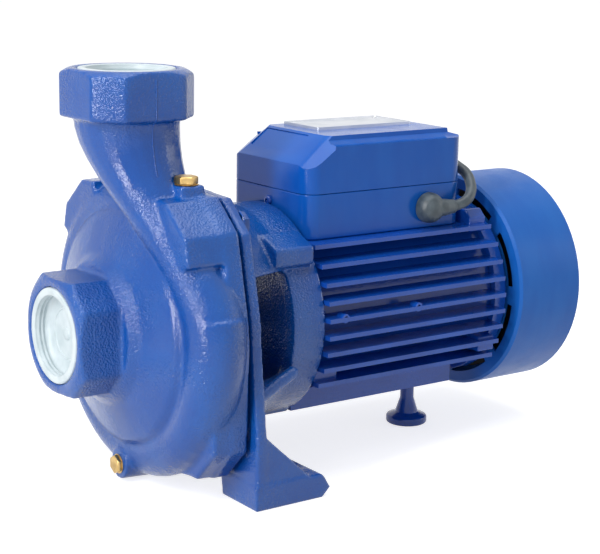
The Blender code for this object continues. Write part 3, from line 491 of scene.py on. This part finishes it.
def hex_head(name, flats, height, washer, place):
    """A hexagon head on its round washer face, with the corners chamfered at the top."""
    corner = flats / math.sqrt(3)
    hexagon = ((corner, washer), (corner, height - HEX_CHAMFER), (flats / 2 * 0.98, height))
    face = ((corner * 0.99, 0), (corner * 1.02, washer * 0.4), (flats / 2, washer))
    head = turned(name, hexagon, 6, place)
    foot = turned(name + "_washer_face", face, 48, place)
    modify(head, "BEVEL", width=HEX_EDGE, segments=2, limit_method="ANGLE", angle_limit=math.radians(25))
    choose(head, foot)
    bpy.ops.object.join()
    return crisp(head, 30)


brass = Finish("brass", Metallic=1.0)
cut_marks = brass.noise(420, detail=3, roughness=0.6, stretch=(1, 1, 6))
tarnish = brass.noise(190, detail=3)
brass.set(
    Base_Color=brass.tint(brass.spread(tarnish, NOISE_LOW, 0.75), BRASS_BRIGHT, BRASS_DULL),
    Roughness=brass.spread(cut_marks, start=0.28, end=0.46),
    Normal=brass.relief(cut_marks, 0.00008, 0.5),
)
low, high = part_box("priming_plug")
seat = facing((0, 0, 1), ((low.x + high.x) / 2, (low.y + high.y) / 2, low.z))
priming = hex_head("priming_hexagon", PRIMING_FLATS, high.z - low.z, PRIMING_WASHER, seat)
show(priming, brass, "brass", "priming_plug")
low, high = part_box("drain_plug")
seat = facing((-1, 0, 0), (high.x, (low.y + high.y) / 2, (low.z + high.z) / 2))
drain = hex_head("drain_hexagon", DRAIN_FLATS, high.x - low.x, DRAIN_WASHER, seat)
show(drain, brass, "brass", "drain_plug")


# Casing gasket. A flat joint of black fibre is squeezed between the casing's flange and the bracket.
# Only its edge shows, as a dark line round the flange.
FIBRE_DARK = (0.006, 0.006, 0.009, 1)
FIBRE_PALE = (0.028, 0.028, 0.034, 1)


def dress(finish, node):
    """Gives a CAD node that stays as it is its material."""
    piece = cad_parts[node]
    if piece.material_slots:
        for held in piece.material_slots:
            held.material = finish.material
    else:
        piece.data.materials.append(finish.material)


fibre = Finish("gasket_fibre", Specular_IOR_Level=0.25)
weave = fibre.noise(1500, detail=3, roughness=0.7)
fibre.set(
    Base_Color=fibre.tint(fibre.spread(weave, 0.35, 0.75), FIBRE_DARK, FIBRE_PALE),
    Roughness=fibre.spread(weave, start=0.6, end=0.85),
    Normal=fibre.relief(weave, 0.0002, 0.6),
)
dress(fibre, "casing_gasket")


# Motor bracket. A second iron casting joins the casing to the motor and stands on two legs.
# It gets the ribs and lugs that the plain solid leaves out, and then the same moulded skin and enamel.
BRACKET_VOXEL = 0.0012
BRACKET_TRIANGLES = 150000
STRUT_RADIUS = 0.0042
STRUT_NOSE = 0.6         # length of its round nose, as a share of the radius
STRUT_ENDS = ((-0.098, -0.0775, 0.0625), (-0.0575, -0.0725, 0.0795))
TIE_BLOCK_FRONT = -0.070
TIE_BLOCK_REAR = -0.0405
TIE_BLOCK_OUTLINE = ((-0.036, 0.148), (-0.0475, 0.1645), (-0.0665, 0.1568), (-0.0665, 0.146), (-0.055, 0.141))


def bar(name, start, end, radius):
    """A round-nosed bar between two points."""
    run = Vector(end) - Vector(start)
    nose = radius * STRUT_NOSE
    stations = ((radius / 2, 0), (radius, nose), (radius, run.length - nose), (radius / 2, run.length))
    return turned(name, stations, 24, facing(run, start))


def extruded(name, side, outline, start, end):
    """A block whose (y, z) outline, drawn for the near side, is extruded along X on either side."""
    bpy.ops.mesh.primitive_circle_add(vertices=len(outline), radius=0.01, fill_type="NGON")
    piece = bpy.context.object
    piece.name = piece.data.name = name
    for vert, (y, z) in zip(piece.data.vertices, outline):
        vert.co = (start, MIDDLE - side * y, z)
    bpy.ops.object.mode_set(mode="EDIT")
    bpy.ops.mesh.select_all(action="SELECT")
    bpy.ops.mesh.extrude_region_move(TRANSFORM_OT_translate={"value": (end - start, 0, 0)})
    bpy.ops.mesh.select_all(action="SELECT")
    bpy.ops.mesh.normals_make_consistent(inside=False)
    bpy.ops.object.mode_set(mode="OBJECT")
    return piece


bracket = copied("motor_bracket", "bracket_casting")
additions = []
for side in (-1, 1):
    ends = [(x, MIDDLE - side * y, z) for x, y, z in STRUT_ENDS]
    additions.append(bar("strut", *ends, STRUT_RADIUS))
    additions.append(extruded("tie_block", side, TIE_BLOCK_OUTLINE, TIE_BLOCK_FRONT, TIE_BLOCK_REAR))
choose(bracket, *additions)
bpy.ops.object.join()
recast(bracket, BRACKET_VOXEL, BRACKET_TRIANGLES)
show(bracket, cast_enamel, "cast_paint", "motor_bracket")


# Casing bolts. Four hexagon bolts with washers pull the casing against the bracket, from behind its plate.
# Their shanks end in the casing's lugs, and they are sprayed together with the castings.
BOLT_FLATS = 0.013
BOLT_HEAD = 0.0056
BOLT_SHANK = 0.0039
SHANK_CHAMFER = 0.0008
WASHER_RADIUS = 0.0082
WASHER_THICKNESS = 0.0012
WASHER_EDGE = 0.0003

for i in (1, 2, 3, 4):
    low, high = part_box(f"casing_bolt_{i}")
    y = (low.y + high.y) / 2
    z = (low.z + high.z) / 2
    seat = facing((1, 0, 0), (high.x - BOLT_HEAD, y, z))
    bolt = hex_head(f"hex_bolt_{i}", BOLT_FLATS, BOLT_HEAD, WASHER_THICKNESS, seat)
    washer = turned("washer", (
        (WASHER_RADIUS - WASHER_EDGE, 0),
        (WASHER_RADIUS, WASHER_EDGE),
        (WASHER_RADIUS, WASHER_THICKNESS - WASHER_EDGE),
        (WASHER_RADIUS - WASHER_EDGE, WASHER_THICKNESS),
    ), 48, seat)
    shank = turned("shank", (
        (BOLT_SHANK - SHANK_CHAMFER, 0),
        (BOLT_SHANK, SHANK_CHAMFER),
        (BOLT_SHANK, high.x - BOLT_HEAD - low.x),
    ), 32, facing((1, 0, 0), (low.x, y, z)))
    choose(bolt, washer, shank)
    bpy.ops.object.join()
    show(crisp(bolt, 30), cast_enamel, "cast_paint", f"casing_bolt_{i}")


# Pump shaft. Ground steel, seen only through the bracket's windows.
# It keeps its solid, and gets the fine rings that grinding leaves.
SHAFT_DARK = (0.26, 0.26, 0.27, 1)
SHAFT_PALE = (0.42, 0.42, 0.43, 1)

ground_steel = Finish("ground_steel", Metallic=1.0)
rings = ground_steel.noise(2200, stretch=(1, 0.03, 0.03))
oil = ground_steel.noise(90, detail=3)
ground_steel.set(
    Base_Color=ground_steel.tint(ground_steel.spread(oil), SHAFT_DARK, SHAFT_PALE),
    Roughness=ground_steel.spread(rings, start=0.22, end=0.36),
    Normal=ground_steel.relief(rings, 0.00004, 0.5),
)
dress(ground_steel, "pump_shaft")


# Motor housing. The finned body is die-cast aluminium in smoother, glossier blue enamel.
# Lugs for the tie bolts stand between the fins at its ends, and two tapped studs on its middle fin.
SIDES = ((-1, "near"), (1, "far"))
MOTOR_DARK = (0.005, 0.062, 0.36, 1)
MOTOR_PALE = (0.007, 0.084, 0.45, 1)
FIN_EDGE = 0.0006
LUG_EDGE = 0.0012
LUG_BLOCKS = (           # front, rear and the outline between
    (-0.0342, -0.0150, ((-0.045, 0.060), (-0.0595, 0.0615), (-0.0595, 0.0735), (-0.050, 0.077))),
    (0.1030, 0.1176, ((-0.050, 0.066), (-0.0665, 0.067), (-0.0665, 0.0775), (-0.052, 0.079))),
    (0.1030, 0.1176, ((-0.036, 0.150), (-0.036, 0.1655), (-0.047, 0.1655), (-0.0525, 0.160),
                      (-0.0525, 0.150))),
)
STUD_SPOTS = ((-0.0215, 0.1090), (0.0395, 0.1092))
STUD_FOOT = 0.070        # from the centre plane
STUD_RADIUS = 0.0031
STUD_HOLE = STUD_RADIUS * 0.5
STUD_STATIONS = (
    (STUD_RADIUS, 0), (STUD_RADIUS, 0.0064), (STUD_RADIUS - 0.0004, 0.0068),
    (STUD_RADIUS * 0.55, 0.0068), (STUD_HOLE, 0.0062), (STUD_HOLE, 0.003),
)


def softened(piece, width, segments=2, angle=38):
    """Rounded edges, with shading that keeps the flat faces flat."""
    modify(piece, "BEVEL", width=width, segments=segments, limit_method="ANGLE",
           angle_limit=math.radians(angle), miter_outer="MITER_ARC")
    crisp(piece, 42)
    modify(piece, "WEIGHTED_NORMAL", keep_sharp=True, weight=60)
    return piece


def planes_joined(piece):
    """Faces that lie in one plane become one face, so that only real edges are rounded."""
    modify(piece, "DECIMATE", decimate_type="DISSOLVE", angle_limit=math.radians(0.8))
    return piece


motor_enamel = painted("motor_enamel", MOTOR_DARK, MOTOR_PALE, grain=620, depth=0.00015, gloss=0.10,
                       patches=(0.2, 0.8))
housing = softened(planes_joined(copied("motor_housing", "finned_housing")), FIN_EDGE)
show(housing, motor_enamel, "motor_paint", "motor_housing")
for number, (start, end, outline) in enumerate(LUG_BLOCKS, 1):
    for side, where in SIDES:
        lug = extruded(f"tie_lug_{number}_{where}", side, outline, start, end)
        show(softened(lug, LUG_EDGE, 3), motor_enamel, "motor_paint")
for number, (x, z) in enumerate(STUD_SPOTS, 1):
    for side, where in SIDES:
        place = facing((0, side, 0), (x, MIDDLE + side * STUD_FOOT, z))
        stud = turned(f"stud_{number}_{where}", STUD_STATIONS, 32, place)
        show(crisp(stud), motor_enamel, "motor_paint")


# Rear end shield and rear foot. The shield closes the motor with a row of openings for the fan's air.
# The foot is a turned prop that carries the motor's rail. Both are in the motor's enamel.
SHIELD_EDGE = 0.0005
FOOT_EDGE = 0.0006

shield = softened(planes_joined(copied("rear_end_shield", "end_shield")), SHIELD_EDGE)
show(shield, motor_enamel, "motor_paint", "rear_end_shield")
foot = softened(planes_joined(copied("rear_foot", "turned_foot")), FOOT_EDGE)
show(foot, motor_enamel, "motor_paint", "rear_foot")


# Fan cover and fan. The cover is a thin moulding in satin blue, with a grille at its rear.
# The fan behind it is black plastic and keeps its solid.
COWL_EDGE = 0.0005
COWL_DARK = (0.007, 0.108, 0.44, 1)
COWL_PALE = (0.010, 0.124, 0.47, 1)
FAN_DARK = (0.006, 0.006, 0.007, 1)
FAN_PALE = (0.016, 0.016, 0.018, 1)


def moulded(name, dark, pale, gloss, grain_depth):
    """Satin moulded plastic: a fine spark texture, faint flow marks and slight scuffs."""
    made = Finish(name, Specular_IOR_Level=0.26)
    flow = made.noise(22, detail=3, stretch=(3, 1, 1))
    spark = made.noise(3200)
    rubbed = made.noise(60, detail=4, roughness=0.65)
    made.set(
        Base_Color=made.tint(made.spread(flow), dark, pale),
        Roughness=made.spread(rubbed, 0.35, NOISE_HIGH, gloss, gloss + 0.1),
        Normal=made.relief(spark, grain_depth, 0.4),
    )
    return made


cover_plastic = moulded("satin_blue", COWL_DARK, COWL_PALE, gloss=0.32, grain_depth=0.00008)
cowl = softened(planes_joined(copied("fan_cover", "fan_cowl")), COWL_EDGE)
show(cowl, cover_plastic, "blue_plastic", "fan_cover")
black_plastic = moulded("black_plastic", FAN_DARK, FAN_PALE, gloss=0.45, grain_depth=0.0001)
dress(black_plastic, "cooling_fan")


# Terminal box. Its two halves are smooth blue mouldings that meet at a thin seam.
# The front slope has a shallow panel, and small zinc-plated screws sit in the side channels.
# One larger screw in the front is sprayed with the motor.
BOX_DARK = (0.003, 0.084, 0.41, 1)
BOX_PALE = (0.005, 0.098, 0.44, 1)
BOX_EDGE = 0.0011
PANEL_SIZE = (0.0170, 0.0495, 0.0014)
PANEL_CENTRE = (-0.01765, 0.0109, 0.2157)
PANEL_TILT = -math.atan2(0.0177, 0.023)
CHANNEL_SCREW = (0.0362, 0.0388, 0.2158)
CHANNEL_LEAN = 0.35
FRONT_SCREW = (-0.0322, -0.002, 0.1768)
ZINC_DARK = (0.44, 0.45, 0.47, 1)
ZINC_PALE = (0.60, 0.61, 0.63, 1)


def softened_half(piece):
    """One half of the box, with its wider rounded edges."""
    return softened(piece, BOX_EDGE, 3, 30)


def screw(name, radius, height, place):
    """A small pan head with a round socket, turned from a list of stations."""
    return crisp(turned(name, (
        (radius, 0), (radius, height * 0.4), (radius * 0.8, height * 0.85),
        (radius * 0.45, height), (radius * 0.4, height * 0.55), (radius * 0.2, height * 0.3),
    ), 24, place))


box_blue = moulded("box_blue", BOX_DARK, BOX_PALE, gloss=0.14, grain_depth=0.00003)
base = softened_half(planes_joined(copied("terminal_box_base", "box_base")))
show(base, box_blue, "box_paint", "terminal_box_base")
cover = planes_joined(copied("terminal_box_cover", "box_cover"))
bpy.ops.mesh.primitive_cube_add(size=1)
recess = bpy.context.object
panel = Matrix.Translation(PANEL_CENTRE) @ Matrix.Rotation(PANEL_TILT, 4, "Y")
recess.data.transform(panel @ Matrix.Diagonal((*PANEL_SIZE, 1)))
modify(cover, "BOOLEAN", operation="DIFFERENCE", object=recess, solver="EXACT")
bpy.data.objects.remove(recess)
show(softened_half(cover), box_blue, "box_paint", "terminal_box_cover")

zinc = Finish("zinc_plate", Metallic=1.0)
spangle = zinc.cells(700)
smear = zinc.noise(240, detail=3)
zinc.set(
    Base_Color=zinc.tint(zinc.spread(smear), ZINC_DARK, ZINC_PALE),
    Roughness=zinc.spread(spangle + 0.4 * smear, 0.2, 0.9, 0.26, 0.42),
    Normal=zinc.relief(smear, 0.0001, 0.3),
)
for side, where in SIDES:
    x, y, z = CHANNEL_SCREW
    place = facing((0, side * CHANNEL_LEAN, 1), (x, MIDDLE + side * y, z))
    show(screw(f"channel_screw_{where}", 0.0024, 0.0016, place), zinc, "steel")
place = facing((-1, 0, 0), about_middle(FRONT_SCREW))
show(screw("front_screw", 0.0033, 0.0024, place), motor_enamel, "motor_paint")


# Rating plate. A bare plate of brushed aluminium is riveted to the top of the terminal box.
# It has softened corners and carries no words.
PLATE_LOW = Vector((0.0035, -0.0045, 0.2222))
PLATE_HIGH = Vector((0.0845, 0.0375, 0.2227))
PLATE_CORNER = 0.002
PLATE_EDGE = 0.00012
PLATE_DARK = (0.58, 0.61, 0.66, 1)
PLATE_PALE = (0.68, 0.70, 0.74, 1)
RIVET_INSET = Vector((0.0035, 0.0035, 0))
RIVET_STATIONS = ((0.0014, 0), (0.0014, 0.0002), (0.0011, 0.0006), (0.0005, 0.0008))

brushed = Finish("brushed_plate", Metallic=0.85)
strokes = brushed.noise(900, roughness=0.6, stretch=(0.03, 1, 1))
handled = brushed.noise(60, detail=3)
brushed.set(
    Base_Color=brushed.tint(brushed.spread(handled), PLATE_DARK, PLATE_PALE),
    Roughness=brushed.spread(strokes, start=0.3, end=0.45),
    Normal=brushed.relief(strokes, 0.00003, 0.4),
)
bpy.ops.mesh.primitive_cube_add(size=1)
plate = bpy.context.object
plate.name = plate.data.name = "rating_plate"
extent = Matrix.Diagonal((*(PLATE_HIGH - PLATE_LOW), 1))
plate.data.transform(Matrix.Translation((PLATE_LOW + PLATE_HIGH) / 2) @ extent)
bpy.ops.object.mode_set(mode="EDIT")
bpy.ops.mesh.select_all(action="DESELECT")
bpy.ops.object.mode_set(mode="OBJECT")
for edge in plate.data.edges:
    first, second = [plate.data.vertices[i].co for i in edge.vertices]
    edge.select = abs(first.z - second.z) > MERGE
bpy.ops.object.mode_set(mode="EDIT")
bpy.ops.mesh.select_mode(type="EDGE")
bpy.ops.mesh.bevel(offset=PLATE_CORNER, segments=5, affect="EDGES")
bpy.ops.object.mode_set(mode="OBJECT")
show(softened(plate, PLATE_EDGE), brushed, "steel")

low = PLATE_LOW + RIVET_INSET
high = PLATE_HIGH - RIVET_INSET
corners = ((low.x, low.y), (high.x, low.y), (high.x, high.y), (low.x, high.y))
for number, (x, y) in enumerate(corners, 1):
    place = facing((0, 0, 1), (x, y, high.z))
    rivet = turned(f"plate_rivet_{number}", RIVET_STATIONS, 20, place)
    show(crisp(rivet, 60), zinc, "steel")


# Cable glands. Each is a soft rubber boot on the side of the terminal box, with a tapered sleeve that
# holds the lead and turns it along the box.
GLAND_X = 0.06875
BOX_SIDE = 0.0463        # from the centre plane
BOOT_VOXEL = 0.0004
BOOT_SOFTENING = 4
BOOT_STATIONS = (
    (0.0098, 0), (0.0105, 0.0006), (0.0105, 0.0030), (0.0103, 0.0048), (0.0096, 0.0070),
    (0.0082, 0.0092), (0.0060, 0.0110), (0.0034, 0.0120), (0.0010, 0.0124),
)
SLEEVE_STATIONS = (
    (0.0055, 0), (0.0060, 0.0060), (0.0059, 0.0095), (0.0055, 0.0125), (0.0048, 0.0160),
    (0.0049, 0.0166), (0.0049, 0.0178), (0.0045, 0.0184),
)
GLANDS = {"near": "cable_gland", "far": "far_cable_gland"}

for side, where in SIDES:
    on_box = facing((0, side, 0), (GLAND_X, MIDDLE + side * BOX_SIDE, LEAD_LEVEL))
    along_lead = facing((1, 0, 0), (GLAND_X, MIDDLE + side * LEAD_SIDE, LEAD_LEVEL))
    boot = turned(f"gland_boot_{where}", BOOT_STATIONS, 64, on_box)
    sleeve = turned("sleeve", SLEEVE_STATIONS, 48, along_lead)
    choose(boot, sleeve)
    bpy.ops.object.join()
    modify(boot, "REMESH", mode="VOXEL", voxel_size=BOOT_VOXEL)
    modify(boot, "SMOOTH", factor=0.5, iterations=BOOT_SOFTENING)
    bpy.ops.object.shade_smooth()
    show(boot, rubber, "grey_rubber", GLANDS[where])
